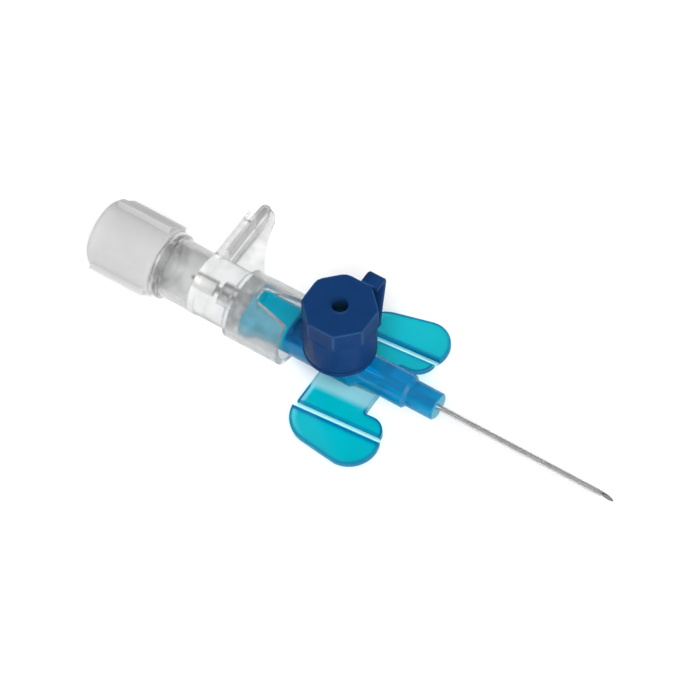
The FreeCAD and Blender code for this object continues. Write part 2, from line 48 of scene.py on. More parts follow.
# Camera, light and floor
# The device lies on a plain pale table under broad soft light, with a long lens above its
# near side. A lamp low on the tip's side picks out the faces that look along the catheter.
camera_at = Vector((0.122974, -0.216471, 0.393468))
camera_looks = Vector((-0.292969, 0.463147, -0.836459))
lens_length = 180.0
film_width = 36.0
clear_bounces = 24
tip_lamp_shines = (-0.95, 0.12, -0.28)
room_low = (0.14, 0.14, 0.145, 1)
room_high = (0.42, 0.42, 0.42, 1)
paper_low = (0.93, 0.93, 0.93, 1)
paper_high = (0.97, 0.97, 0.97, 1)
floor_half = 1.5
floor_drop = 0.00002

camera_data = bpy.data.cameras.new("table_camera")
camera_data.sensor_width = film_width
camera_data.lens = lens_length
camera_data.clip_start = 0.05
camera_data.clip_end = 20.0
camera = bpy.data.objects.new("table_camera", camera_data)
camera.location = camera_at
camera.rotation_mode = "QUATERNION"
camera.rotation_quaternion = camera_looks.to_track_quat("-Z", "Y")
bpy.context.scene.collection.objects.link(camera)
bpy.context.scene.camera = camera
bpy.context.scene.view_settings.view_transform = "Standard"
bpy.context.scene.cycles.max_bounces = clear_bounces
bpy.context.scene.cycles.transmission_bounces = clear_bounces
bpy.context.scene.cycles.transparent_max_bounces = clear_bounces


def soft_lamp(name, shines, spread, strength):
    """A broad far light that reaches the whole table evenly, given the way it shines."""
    data = bpy.data.lights.new(name, "SUN")
    data.angle = math.radians(spread)
    data.energy = strength
    lamp = bpy.data.objects.new(name, data)
    lamp.rotation_mode = "QUATERNION"
    lamp.rotation_quaternion = Vector(shines).to_track_quat("-Z", "Y")
    bpy.context.scene.collection.objects.link(lamp)


soft_lamp("viewer_side_light", camera_looks, spread=35, strength=3.1)
soft_lamp("tip_side_light", tip_lamp_shines, spread=40, strength=1.0)


def put(tree, kind, **values):
    """One node with its settings and unlinked inputs set by name."""
    node = tree.nodes.new(kind)
    for key, value in values.items():
        if key in node.bl_rna.properties:
            setattr(node, key, value)
        else:
            node.inputs[key.replace("_", " ")].default_value = value
    return node


def feed(tree, socket, value):
    """Sets an input to a plain number or colour, or joins it to another node's output."""
    if isinstance(value, (int, float, tuple)):
        socket.default_value = value
    else:
        tree.links.new(value, socket)


def ramp(tree, value, *stops):
    """A colour along a scale. Each stop is a place between 0 and 1 and the colour there."""
    node = put(tree, "ShaderNodeValToRGB")
    for element, (at, colour) in zip(node.color_ramp.elements, stops):
        element.position = at
        element.color = colour
    feed(tree, node.inputs["Fac"], value)
    return node.outputs["Color"]


room = bpy.data.worlds.new("soft_room")
room.use_nodes = True
tree = room.node_tree
tree.nodes.clear()
way = put(tree, "ShaderNodeTexCoord")
height = put(tree, "ShaderNodeSeparateXYZ")
feed(tree, height.inputs["Vector"], way.outputs["Generated"])
light = put(tree, "ShaderNodeBackground", Strength=1.0)
feed(tree, light.inputs["Color"], ramp(tree, height.outputs["Z"], (0.05, room_low), (0.95, room_high)))
out = put(tree, "ShaderNodeOutputWorld")
feed(tree, out.inputs["Surface"], light.outputs["Background"])
bpy.context.scene.world = room


def new_material(name):
    """A material with an empty node tree, and that tree."""
    made = bpy.data.materials.new(name)
    made.use_nodes = True
    made.node_tree.nodes.clear()
    return made, made.node_tree


def show(tree, shader):
    """Ends a material on this shader."""
    out = put(tree, "ShaderNodeOutputMaterial")
    feed(tree, out.inputs["Surface"], shader)


paper, tree = new_material("pale_paper")
where = put(tree, "ShaderNodeTexCoord")
fibres = put(tree, "ShaderNodeTexNoise", Scale=900.0, Detail=3.0)
feed(tree, fibres.inputs["Vector"], where.outputs["Object"])
face = put(tree, "ShaderNodeBsdfPrincipled", Roughness=0.9, Specular_IOR_Level=0.0)
feed(tree, face.inputs["Base Color"], ramp(tree, fibres.outputs["Fac"], (0.0, paper_low), (1.0, paper_high)))
show(tree, face.outputs["BSDF"])

floor_z = cad_low.z - floor_drop
floor_corners = [(side_x * floor_half, side_y * floor_half, floor_z)
                 for side_x, side_y in ((-1, -1), (1, -1), (1, 1), (-1, 1))]
floor_mesh = bpy.data.meshes.new("pale_floor")
floor_mesh.from_pydata(floor_corners, [], [(0, 1, 2, 3)])
floor = bpy.data.objects.new("pale_floor", floor_mesh)
floor.data.materials.append(paper)
bpy.context.scene.collection.objects.link(floor)


# Cannula hub
# One translucent blue moulding: a luer body with its port, block and nose over two thin wings.
# The plastic is the same throughout, so the thin wings look cyan and the thick body a full blue.
port_x = -0.01553
wing_top_z = -0.00393
wing_pitch = math.radians(8.3)
wing_rear = 0.0025
groove_y = 0.00723
groove_web_half = 0.00027
groove_shade_width = 0.0005

# The rounds of the wing's front: place ahead of the port, place aside, radius
wing_lobe = (0.00815, 0.0071, 0.00263)
wing_notch = (0.00707, 0.00412, 0.00035)

# Where the plastic goes thin and where painted shade and painted light begin, each pair running into the full
# effect
thin_wall_x = (-0.0224, -0.0230)
cap_shade_x = (-0.0196, -0.0206)
cap_shade_z = (0.0012, 0.0022)
lit_nose_face_x = (-0.00012, -0.00003)
above_wing = (0.0006, 0.00005)
groove_shade_end = (1.15, 0.75)
rim_shade_inside = (0.00042, 0.00018)
rear_light_inside = (0.0011, 0.0005)
root_light_y = (0.0043, 0.0031)
rear_light_share = 0.35
root_light_share = 0.8
light_hides_rim_shade = 0.75
groove_shade_share = 0.75

hub_tones = ((0.0, 0.21, 0.45, 1), (0.0, 0.29, 0.56, 1))
# Lighter teal of the thin luer wall, also painted on the nose's front face as painted light
thin_wall_and_lit_face_teal = (0.0, 0.45, 0.60, 1)
# Painted shade at the foot of the port, behind the cap
cap_shade_blue = (0.0, 0.10, 0.27, 1)
wing_cyan = (0.0, 0.47, 0.53, 1)
# Painted highlight on the wing's root beside the hub
root_highlight = (0.42, 0.63, 0.67, 1)
# Pale for the thin web, partly a painted highlight, and for the painted light at the wing's rear
pale_web_and_highlight = (0.72, 1.0, 1.0, 1)
# Painted shade on the wing's outline and on the groove's sloping sides
painted_edge_shade = (0.0, 0.19, 0.37, 1)
white = (1, 1, 1, 1)
lamp_share = 0.6


def calc(tree, operation, *values):
    """One Math node. Its inputs are numbers or sockets, and it gives back its output socket."""
    node = put(tree, "ShaderNodeMath", operation=operation)
    for socket, value in zip(node.inputs, values):
        feed(tree, socket, value)
    return node.outputs[0]


def times(tree, one, two):
    """The product of two masks or numbers."""
    return calc(tree, "MULTIPLY", one, two)


def minus(tree, one, two):
    """The first number less the second."""
    return calc(tree, "SUBTRACT", one, two)


def reach(tree, one, two):
    """How far apart two points are, given their distances along two square axes."""
    return calc(tree, "SQRT", calc(tree, "MULTIPLY_ADD", one, one, times(tree, two, two)))


def fade(tree, value, start, end):
    """A soft mask that is 0 at start and 1 at end."""
    node = put(tree, "ShaderNodeMapRange", interpolation_type="SMOOTHSTEP", From_Min=start, From_Max=end)
    feed(tree, node.inputs["Value"], value)
    return node.outputs["Result"]


def tint(tree, mask, under, over):
    """Mixes a colour over another. The mask and each colour may be a plain value or a socket."""
    mix = put(tree, "ShaderNodeMix", data_type="RGBA")
    for socket, value in ((mix.inputs[0], mask), (mix.inputs[6], under), (mix.inputs[7], over)):
        feed(tree, socket, value)
    return mix.outputs[2]


def place(tree):
    """Where a point lies in the device's own frame: the whole vector, then its X, Y and Z."""
    where = put(tree, "ShaderNodeTexCoord").outputs["Object"]
    parts = put(tree, "ShaderNodeSeparateXYZ")
    feed(tree, parts.inputs["Vector"], where)
    return where, parts.outputs["X"], parts.outputs["Y"], parts.outputs["Z"]


def group(name, inputs, outputs):
    """A shader node group with named inputs (name, value) and outputs (name, kind of socket)."""
    tree = bpy.data.node_groups.new(name, "ShaderNodeTree")
    for label, value in inputs:
        socket = tree.interface.new_socket(name=label, in_out="INPUT", socket_type="NodeSocketFloat")
        socket.default_value = value
    for label, kind in outputs:
        tree.interface.new_socket(name=label, in_out="OUTPUT", socket_type="NodeSocket" + kind)
    return tree, tree.nodes.new("NodeGroupInput"), tree.nodes.new("NodeGroupOutput")


def moulded_skin():
    """Fine tool texture over slow sink waves, as on any injection moulding."""
    tree, start, end = group(
        "moulded_skin",
        [("Wave Size", 400.0), ("Grain Size", 6000.0), ("Grain Share", 0.3),
         ("Roughness", 0.2), ("Roughness Spread", 0.05), ("Depth", 0.1)],
        [("Roughness", "Float"), ("Tone", "Float"), ("Normal", "Vector")])
    where = put(tree, "ShaderNodeTexCoord")
    wave = put(tree, "ShaderNodeTexNoise", Detail=1.0)
    grain = put(tree, "ShaderNodeTexNoise", Detail=2.0)
    for noise, size in ((wave, "Wave Size"), (grain, "Grain Size")):
        feed(tree, noise.inputs["Vector"], where.outputs["Object"])
        feed(tree, noise.inputs["Scale"], start.outputs[size])
    relief = put(tree, "ShaderNodeMix", data_type="FLOAT")
    feed(tree, relief.inputs["Factor"], start.outputs["Grain Share"])
    feed(tree, relief.inputs["A"], wave.outputs["Fac"])
    feed(tree, relief.inputs["B"], grain.outputs["Fac"])
    bump = put(tree, "ShaderNodeBump", Distance=0.0002)
    feed(tree, bump.inputs["Height"], relief.outputs["Result"])
    feed(tree, bump.inputs["Strength"], start.outputs["Depth"])
    centred = minus(tree, grain.outputs["Fac"], 0.5)
    rough = calc(tree, "MULTIPLY_ADD", centred, start.outputs["Roughness Spread"], start.outputs["Roughness"])
    feed(tree, end.inputs["Roughness"], rough)
    feed(tree, end.inputs["Tone"], wave.outputs["Fac"])
    feed(tree, end.inputs["Normal"], bump.outputs["Normal"])
    return tree


skin_group = moulded_skin()


def fold_web_and_shade():
    """Masks for the fold groove's thin web, pale partly from its thin plastic and partly as a painted
    highlight, and for the painted shade on its two sloping sides.
    """
    tree, start, end = group(
        "fold_web_and_shade", [("From Fold", 0.0), ("Web Half", groove_web_half), ("Side Width", groove_shade_width)],
        [("Web", "Float"), ("Side", "Float")])
    far = calc(tree, "ABSOLUTE", start.outputs["From Fold"])
    web = calc(tree, "LESS_THAN", far, start.outputs["Web Half"])
    past = minus(tree, far, start.outputs["Web Half"])
    near = fade(tree, calc(tree, "DIVIDE", past, start.outputs["Side Width"]), *groove_shade_end)
    feed(tree, end.inputs["Web"], web)
    feed(tree, end.inputs["Side"], times(tree, near, minus(tree, 1.0, web)))
    return tree


fold_group = fold_web_and_shade()


def wing_edge():
    """How far inside the wing's outline a point lies, given its place ahead of the port and aside."""
    tree, start, end = group(
        "wing_edge", [("Forward", 0.0), ("Aside", 0.0)], [("From Edge", "Float"), ("From Rear", "Float")])
    forward, aside = start.outputs["Forward"], start.outputs["Aside"]
    notch_s, notch_y, notch_r = wing_notch
    lobe_s, lobe_y, lobe_r = wing_lobe
    behind = calc(tree, "MAXIMUM", minus(tree, notch_s, forward), 0.0)
    beyond = calc(tree, "MAXIMUM", minus(tree, aside, notch_y), 0.0)
    from_notch = minus(tree, reach(tree, behind, beyond), notch_r)
    to_lobe = reach(tree, minus(tree, forward, lobe_s), minus(tree, aside, lobe_y))
    gain = minus(tree, minus(tree, lobe_r, to_lobe), from_notch)
    past = calc(tree, "GREATER_THAN", forward, lobe_s)
    from_front = calc(tree, "MULTIPLY_ADD", past, gain, from_notch)
    from_rear = calc(tree, "ADD", forward, wing_rear)
    feed(tree, end.inputs["From Edge"], calc(tree, "MINIMUM", from_rear, from_front))
    feed(tree, end.inputs["From Rear"], from_rear)
    return tree


def surface(tree, colour, skin, **settings):
    """The plastic or metal in this colour, with the skin's roughness and fine relief."""
    face = put(tree, "ShaderNodeBsdfPrincipled", **settings)
    feed(tree, face.inputs["Base Color"], colour)
    feed(tree, face.inputs["Roughness"], skin.outputs["Roughness"])
    feed(tree, face.inputs["Normal"], skin.outputs["Normal"])
    return face.outputs["BSDF"]


def let_lamps_through(tree, shader, colour):
    """Ends a clear material, through which lamps shine on in this tint."""
    path = put(tree, "ShaderNodeLightPath")
    passed = put(tree, "ShaderNodeBsdfTransparent")
    feed(tree, passed.inputs["Color"], colour)
    mix = put(tree, "ShaderNodeMixShader")
    feed(tree, mix.inputs["Fac"], path.outputs["Is Shadow Ray"])
    feed(tree, mix.inputs[1], shader)
    feed(tree, mix.inputs[2], passed.outputs["BSDF"])
    show(tree, mix.outputs["Shader"])


def dress(node_name, material):
    """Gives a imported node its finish, and gives the node back."""
    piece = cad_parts[node_name]
    piece.data.materials.clear()
    piece.data.materials.append(material)
    return piece


hub_blue, tree = new_material("hub_blue")
where, x, y, z = place(tree)
aside = calc(tree, "ABSOLUTE", y)
forward = calc(tree, "DIVIDE", minus(tree, x, port_x), math.cos(wing_pitch))
wing_height = wing_top_z * math.cos(wing_pitch) - port_x * math.sin(wing_pitch)
height = put(tree, "ShaderNodeVectorMath", operation="DOT_PRODUCT")
height.inputs[1].default_value = (-math.sin(wing_pitch), 0, math.cos(wing_pitch))
feed(tree, height.inputs[0], where)
in_wing = fade(tree, height.outputs["Value"], *(wing_height + above for above in above_wing))
marks = put(tree, "ShaderNodeGroup", node_tree=fold_group)
feed(tree, marks.inputs["From Fold"], minus(tree, aside, groove_y))
edge = put(tree, "ShaderNodeGroup", node_tree=wing_edge())
feed(tree, edge.inputs["Forward"], forward)
feed(tree, edge.inputs["Aside"], aside)
# Painted light: a pale band along the wing's rear edge
rear_painted_light = times(tree, fade(tree, edge.outputs["From Rear"], *rear_light_inside), in_wing)
# Painted highlight: a pale band on the wing's root beside the hub, where its fillet catches the light
root_painted_light = times(tree, fade(tree, aside, *root_light_y), in_wing)
# Painted shade: a dark rim along the wing's outline, weaker under the painted highlight at the root
rim_shade = times(tree, fade(tree, edge.outputs["From Edge"], *rim_shade_inside), in_wing)
rim_shade = times(tree, rim_shade, calc(tree, "MULTIPLY_ADD", root_painted_light, -light_hides_rim_shade, 1.0))
# Painted shade: the top of the hub at the foot of the port, behind the cap, is painted a darker blue
cap_shade = times(tree, fade(tree, x, *cap_shade_x), fade(tree, z, *cap_shade_z))
skin = put(tree, "ShaderNodeGroup", node_tree=skin_group, Roughness=0.2, Depth=0.25)
colour = tint(tree, skin.outputs["Tone"], *hub_tones)
for mask, over in (
        (cap_shade, cap_shade_blue),
        (fade(tree, x, *thin_wall_x), thin_wall_and_lit_face_teal),
        # Painted light: the nose's front face, lit by the tip-side light, is painted the lighter teal
        (fade(tree, x, *lit_nose_face_x), thin_wall_and_lit_face_teal),
        (in_wing, wing_cyan),
        (times(tree, rear_painted_light, rear_light_share), pale_web_and_highlight),
        (times(tree, root_painted_light, root_light_share), root_highlight),
        (rim_shade, painted_edge_shade),
        # Painted shade on the groove's two sloping sides; the pale web is partly a painted highlight
        (times(tree, marks.outputs["Side"], groove_shade_share), painted_edge_shade),
        (marks.outputs["Web"], pale_web_and_highlight)):
    colour = tint(tree, mask, colour, over)
plastic = surface(tree, colour, skin, IOR=1.49, Transmission_Weight=0.6, Specular_IOR_Level=0.05)
let_lamps_through(tree, plastic, tint(tree, lamp_share, colour, white))
dress("cannula_hub", hub_blue)


# Valve, catheter and bush inside the hub
# A soft pale silicone sleeve closes the port's hole. The catheter is a thin clear tube, flared
# over a bright steel bush that wedges it into the hub's bore.
silicone_tones = ((0.62, 0.66, 0.70, 1), (0.78, 0.80, 0.82, 1))
catheter_tones = ((0.80, 0.79, 0.78, 1), (0.90, 0.90, 0.90, 1))
catheter_lamps = (0.75, 0.75, 0.75, 1)
bush_tones = ((0.55, 0.55, 0.57, 1), (0.72, 0.72, 0.73, 1))


def even_finish(name, tones, skin_values, lamps=None, **settings):
    """A material whose tone drifts a little. With a tint for lamps it is clear, and else opaque."""
    made, tree = new_material(name)
    skin = put(tree, "ShaderNodeGroup", node_tree=skin_group, **skin_values)
    face = surface(tree, tint(tree, skin.outputs["Tone"], *tones), skin, **settings)
    if lamps:
        let_lamps_through(tree, face, lamps)
    else:
        show(tree, face)
    return made


dress("silicone_valve", even_finish(
    "valve_silicone", silicone_tones, {"Roughness": 0.5, "Depth": 0.3}, Transmission_Weight=0.3, IOR=1.41))
dress("catheter_tube", even_finish(
    "catheter_clear", catheter_tones, {"Roughness": 0.22, "Depth": 0.1}, catheter_lamps,
    Transmission_Weight=0.95, IOR=1.35))
dress("catheter_bush", even_finish(
    "bush_steel", bush_tones, {"Roughness": 0.2, "Depth": 0.1}, Metallic=1.0))


# Wing flaps
# The outer part of each wing folds up on a thin web at the bottom of the moulded groove. The web
# is part of the same soft sheet, so each flap is built in one piece with its groove side and web.
wing_thick = 0.0008
groove_half = 0.0005
groove_web = 0.00025
fold_gap_half = 0.00009
arc_steps = 40
edge_round = 0.00014
flap_sharp_angle = math.radians(40)

# The rounds of the flap's outline: place ahead of the port, place aside, radius
flap_rear = (0.00225, 0.00695, 0.0051)
flap_front = (0.00745, 0.00905, 0.00395)

# Rings on the flap's top, inwards from its outline: the rim's painted shade, the painted light at its rear,
# the flat middle
rim_shade_inset = 0.00034
light_inset = 0.00052
flat_inset = 0.0012
rim_shade_fade = 0.0003
flap_light_share = 0.5
flap_shade_width = 0.0007
flap_tones = ((0.0, 0.46, 0.52, 1), (0.0, 0.50, 0.555, 1))


def flap_edge(inset, y_start):
    """Outline in flat wing coordinates from the rear end of the groove round to its front end."""
    (rs, ry, rr), (fs, fy, fr) = flap_rear, flap_front
    rr, fr = rr - inset, fr - inset
    lean = math.atan2(fy - ry, fs - rs) + math.acos((rr - fr) / math.hypot(fs - rs, fy - ry))
    rear_a = math.pi - math.asin((y_start - ry) / rr)
    front_a = math.asin((y_start - fy) / fr)
    points = []
    for s, y, r, first, last in ((rs, ry, rr, rear_a, lean), (fs, fy, fr, lean, front_a)):
        for k in range(arc_steps + 1):
            a = first + (last - first) * k / arc_steps
            points.append((s + r * math.cos(a), y + r * math.sin(a)))
    return points


def flap_levels(deep):
    """Pairs of depth below the wing's top and inset, from the flat top over the edge to the underside."""
    return [(0.0, flat_inset), (0.0, light_inset), (0.0, rim_shade_inset), (0.0, edge_round),
            (-0.3 * edge_round, 0.3 * edge_round), (-edge_round, 0.0), (-deep, 0.0),
            (-wing_thick + 0.7 * edge_round, 0.0), (-wing_thick + 0.2 * edge_round, 0.2 * edge_round),
            (-wing_thick, 0.7 * edge_round)]


def close_web(mesh, webs, first_web):
    """Faces of the thin web: its top and bottom, its inner end, and its sides at the flap's outline."""
    for level, turned in ((first_web, False), (len(webs) - 1, True)):
        for (a, b), (c, d) in zip(webs[level], webs[level][1:]):
            mesh.faces.new((a, b, d, c) if turned else (a, c, d, b))
    for upper, lower in zip(webs[first_web:], webs[first_web + 1:]):
        mesh.faces.new((upper[0][0], upper[0][1], lower[0][1], lower[0][0]))
        for k in range(len(upper) - 1):
            mesh.faces.new((upper[k][0], lower[k][0], lower[k + 1][0], upper[k + 1][0]))
            mesh.faces.new((upper[k][1], upper[k + 1][1], lower[k + 1][1], lower[k][1]))


def flap_mesh(name, side):
    """The flap with rounded edges, the sloping side of its groove and the web that joins it."""
    slope = groove_half - fold_gap_half
    deep = wing_thick - groove_web
    levels = flap_levels(deep)
    web_ys = [groove_y - fold_gap_half, groove_y - fold_gap_half / 3, groove_y + fold_gap_half / 3]
    mesh = bmesh.new()

    def slope_y(z):
        return groove_y + groove_half - slope * min(1.0, -z / deep)

    def corner(s, y, z):
        x = port_x + s * math.cos(wing_pitch) - z * math.sin(wing_pitch)
        up = wing_top_z + s * math.sin(wing_pitch) + z * math.cos(wing_pitch)
        return mesh.verts.new((x, side * y, up))

    rings, webs = [], []
    for z, inset in levels:
        rings.append([corner(s, y, z) for s, y in flap_edge(inset, slope_y(z))])
        ends = []
        if z <= -deep + 1e-9:
            for y in web_ys:
                line = flap_edge(inset, y)
                ends.append((corner(*line[0], z), corner(*line[-1], z)))
            ends.append((rings[-1][0], rings[-1][-1]))
        webs.append(ends)
    for upper, lower in zip(rings, rings[1:]):
        for k in range(len(upper) - 1):
            mesh.faces.new((upper[k], upper[k + 1], lower[k + 1], lower[k]))
    first_web = next(k for k, ends in enumerate(webs) if ends)
    for upper, lower in zip(rings[:first_web + 1], rings[1:first_web + 1]):
        mesh.faces.new((upper[0], lower[0], lower[-1], upper[-1]))
    mesh.faces.new(rings[0])
    mesh.faces.new(list(reversed(rings[-1])))
    close_web(mesh, webs, first_web)
    bmesh.ops.recalc_face_normals(mesh, faces=mesh.faces)
    mesh.verts.index_update()

    # Each point's share of the rim's painted shade and of the painted light at the rear
    rim_shade, rear_light = [0.0] * len(mesh.verts), [0.0] * len(mesh.verts)
    for (z, inset), ring in zip(levels[:-1], rings):
        for n, v in enumerate(ring):
            rim_shade[v.index] = min(1.0, max(0.0, (light_inset - inset) / rim_shade_fade))
            rear_light[v.index] = max(0.0, 1 - n / arc_steps) if inset == light_inset else 0.0
    made = bpy.data.meshes.new(name)
    mesh.to_mesh(made)
    mesh.free()
    from_fold = [abs(v.co.y) - groove_y for v in made.vertices]
    for label, values in (("from_fold", from_fold), ("rim_shade", rim_shade), ("rear_painted_light", rear_light)):
        made.attributes.new(label, "FLOAT", "POINT").data.foreach_set("value", values)
    made.shade_smooth()
    made.set_sharp_from_angle(angle=flap_sharp_angle)
    return bpy.data.objects.new(name, made)


def held(tree, label):
    """A value that the mesh holds at each of its points."""
    return put(tree, "ShaderNodeAttribute", attribute_name=label).outputs["Fac"]


flap_cyan, tree = new_material("wing_cyan")
marks = put(tree, "ShaderNodeGroup", node_tree=fold_group, Side_Width=flap_shade_width)
feed(tree, marks.inputs["From Fold"], held(tree, "from_fold"))
skin = put(tree, "ShaderNodeGroup", node_tree=skin_group, Roughness=0.12, Depth=0.2)
colour = tint(tree, skin.outputs["Tone"], *flap_tones)
for mask, over in (
        # Painted light: the pale band at the flap's rear
        (times(tree, held(tree, "rear_painted_light"), flap_light_share), pale_web_and_highlight),
        # Painted shade: the dark rim round the flap's outline
        (held(tree, "rim_shade"), painted_edge_shade),
        # Painted shade on the flap's side of the groove; the pale web is partly a painted highlight
        (marks.outputs["Side"], painted_edge_shade),
        (marks.outputs["Web"], pale_web_and_highlight)):
    colour = tint(tree, mask, colour, over)
plastic = surface(tree, colour, skin, IOR=1.49, Transmission_Weight=0.7, Specular_IOR_Level=0.05)
let_lamps_through(tree, plastic, tint(tree, lamp_share, colour, white))

for name, side, node, body in (
        ("far_flap_sheet", 1, "wing_far", "far_flap"), ("near_flap_sheet", -1, "wing_near", "near_flap")):
    flap = flap_mesh(name, side)
    bpy.context.scene.collection.objects.link(flap)
    flap.data.materials.append(flap_cyan)
    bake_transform(flap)
    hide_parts(node)


# Port cap, swivel ring and strap
# A satin navy stopper with an eight-sided grip, tied by a flexible strap to a ring that turns
# round the foot of the port. Ring, strap and cap are one colour, moulded without gloss.
cap_flats = 0.0096
cap_head_z = 0.0084
cap_top_z = 0.0119
cap_hole_r = 0.00125
cap_hole_shade_depth = (0.0003, 0.0014)
cap_side_fade = 0.0012
cap_highlight_width = 0.00026
cap_edge_round = 0.00013
cap_edge_angle = math.radians(28)
weld_reach = 0.000001
cap_tones = ((0.0045, 0.030, 0.115, 1), (0.006, 0.038, 0.135, 1))
cap_edge_highlight = (0.05, 0.14, 0.30, 1)
cap_highlight_share = 0.4
cap_hole_shade = (0.004, 0.019, 0.033, 1)


def octagon_edges():
    """Masks of the cap's eight-sided head: a painted highlight along the edges round its top and flats, and
    painted shade down its hole.
    """
    tree, start, end = group(
        "octagon_edges", [("Width", cap_highlight_width)], [("Edge", "Float"), ("Hole", "Float")])
    _, x, y, z = place(tree)
    ahead = minus(tree, x, port_x)
    far = reach(tree, ahead, y)
    angle = calc(tree, "ARCTAN2", y, ahead)
    eighth = math.pi / 4
    whole = calc(tree, "ROUND", calc(tree, "DIVIDE", angle, eighth))
    off = calc(tree, "ABSOLUTE", minus(tree, angle, times(tree, whole, eighth)))
    to_flat = calc(tree, "ABSOLUTE", minus(tree, cap_flats / 2, times(tree, far, calc(tree, "COSINE", off))))
    to_corner = times(tree, far, calc(tree, "SINE", minus(tree, eighth / 2, off)))
    to_top = minus(tree, cap_top_z, z)

    def near(one, two):
        share = calc(tree, "DIVIDE", calc(tree, "ADD", one, two), start.outputs["Width"])
        return minus(tree, 1.0, calc(tree, "MINIMUM", 1.0, share))

    near_top = near(to_flat, calc(tree, "ABSOLUTE", to_top))
    in_head = fade(tree, minus(tree, z, cap_head_z), 0.0, cap_side_fade)
    near_side = times(tree, near(to_corner, to_flat), in_head)
    edges = calc(tree, "MAXIMUM", calc(tree, "MAXIMUM", near_top, near_side), 0.0)
    in_hole = times(tree, calc(tree, "LESS_THAN", far, cap_hole_r), fade(tree, to_top, *cap_hole_shade_depth))
    feed(tree, end.inputs["Edge"], edges)
    feed(tree, end.inputs["Hole"], in_hole)
    return tree


cap_navy, tree = new_material("cap_navy")
skin = put(tree, "ShaderNodeGroup", node_tree=skin_group, Roughness=0.5, Depth=0.3,
           Wave_Size=500.0, Roughness_Spread=0.12)
edges = put(tree, "ShaderNodeGroup", node_tree=octagon_edges())
colour = tint(tree, skin.outputs["Tone"], *cap_tones)
# Painted highlight along the edges of the cap's head
colour = tint(tree, times(tree, edges.outputs["Edge"], cap_highlight_share), colour, cap_edge_highlight)
# Painted shade down the cap's hole, darker deeper in
colour = tint(tree, edges.outputs["Hole"], colour, cap_hole_shade)
show(tree, surface(tree, colour, skin, Specular_IOR_Level=0.06))

for name in ("cap_ring", "port_cap"):
    piece = dress(name, cap_navy)
    weld = piece.modifiers.new("weld", "WELD")
    weld.merge_threshold = weld_reach
    bevel = piece.modifiers.new("soft_edges", "BEVEL")
    bevel.width = cap_edge_round
    bevel.segments = 2
    bevel.limit_method = "ANGLE"
    bevel.angle_limit = cap_edge_angle
    bevel.harden_normals = True

strap_shift = 0.0015
strap_middle_x = port_x + strap_shift
strap_width = 0.0026
strap_thick = 0.00075
strap_edge_round = 0.00016
strap_sharp_angle = math.radians(50)
strap_reach = 0.0072
strap_bend = 0.0009
strap_top_z = 0.0119
strap_head_y = 0.0048
strap_foot_y = 0.00595
strap_foot_z = 0.00285
strap_head_steps = 4
strap_bend_steps = 12
strap_run_steps = 24


def strap_line():
    """Middle of the band as (y, z) points: out of the cap's head, round the bend, down to the tab."""
    half = strap_thick / 2
    r = strap_bend - half
    lean = math.atan2(strap_reach - strap_foot_y, strap_top_z - strap_bend - strap_foot_z)
    bend_y, bend_z = strap_reach - strap_bend, strap_top_z - strap_bend
    line = [(strap_head_y + (bend_y - strap_head_y) * k / strap_head_steps, strap_top_z - half)
            for k in range(strap_head_steps)]
    for k in range(strap_bend_steps + 1):
        a = math.pi / 2 - (math.pi / 2 + lean) * k / strap_bend_steps
        line.append((bend_y + r * math.cos(a), bend_z + r * math.sin(a)))
    low_y, low_z = line[-1]
    foot_y, foot_z = strap_foot_y - half, strap_foot_z
    for k in range(1, strap_run_steps + 1):
        line.append((low_y + (foot_y - low_y) * k / strap_run_steps,
                     low_z + (foot_z - low_z) * k / strap_run_steps))
    return line


def strap_mesh():
    """A soft-edged band swept from the cap's head round the bend and down to the ring's tab."""
    line = strap_line()
    soft, w, half = strap_edge_round, strap_width / 2, strap_thick / 2
    section = [(-w + soft, -half), (w - soft, -half), (w, -half + soft), (w, half - soft),
               (w - soft, half), (-w + soft, half), (-w, half - soft), (-w, -half + soft)]
    mesh = bmesh.new()
    rings = []
    for k, (y, z) in enumerate(line):
        before, after = line[max(k - 1, 0)], line[min(k + 1, len(line) - 1)]
        along = Vector((0, after[0] - before[0], after[1] - before[1])).normalized()
        if k == 0:
            along = Vector((0, 1, 0))
        if k == len(line) - 1:
            along = Vector((0, 0, -1))
        outward = Vector((0, -along.z, along.y))
        rings.append([mesh.verts.new(Vector((strap_middle_x + u, y, z)) + outward * v) for u, v in section])
    for one, two in zip(rings, rings[1:]):
        for k in range(len(section)):
            n = (k + 1) % len(section)
            mesh.faces.new((one[k], one[n], two[n], two[k]))
    mesh.faces.new(list(reversed(rings[0])))
    mesh.faces.new(rings[-1])
    bmesh.ops.recalc_face_normals(mesh, faces=mesh.faces)
    made = bpy.data.meshes.new("cap_strap_band")
    mesh.to_mesh(made)
    mesh.free()
    made.shade_smooth()
    made.set_sharp_from_angle(angle=strap_sharp_angle)
    return bpy.data.objects.new("cap_strap_band", made)


strap = strap_mesh()
bpy.context.scene.collection.objects.link(strap)
strap.data.materials.append(cap_navy)
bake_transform(strap)
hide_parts("cap_strap")


# Needle and its bond
# A ground steel tube runs from the flash chamber to its slanting point, held in the clear hub by
# a drop of cured adhesive.
steel_tones = ((0.57, 0.567, 0.563, 1), (0.67, 0.67, 0.67, 1))
drawn_lines = (60, 9000, 9000)
adhesive_tones = ((0.88, 0.88, 0.86, 1), (0.95, 0.95, 0.93, 1))
adhesive_lamps = (0.9, 0.9, 0.88, 1)

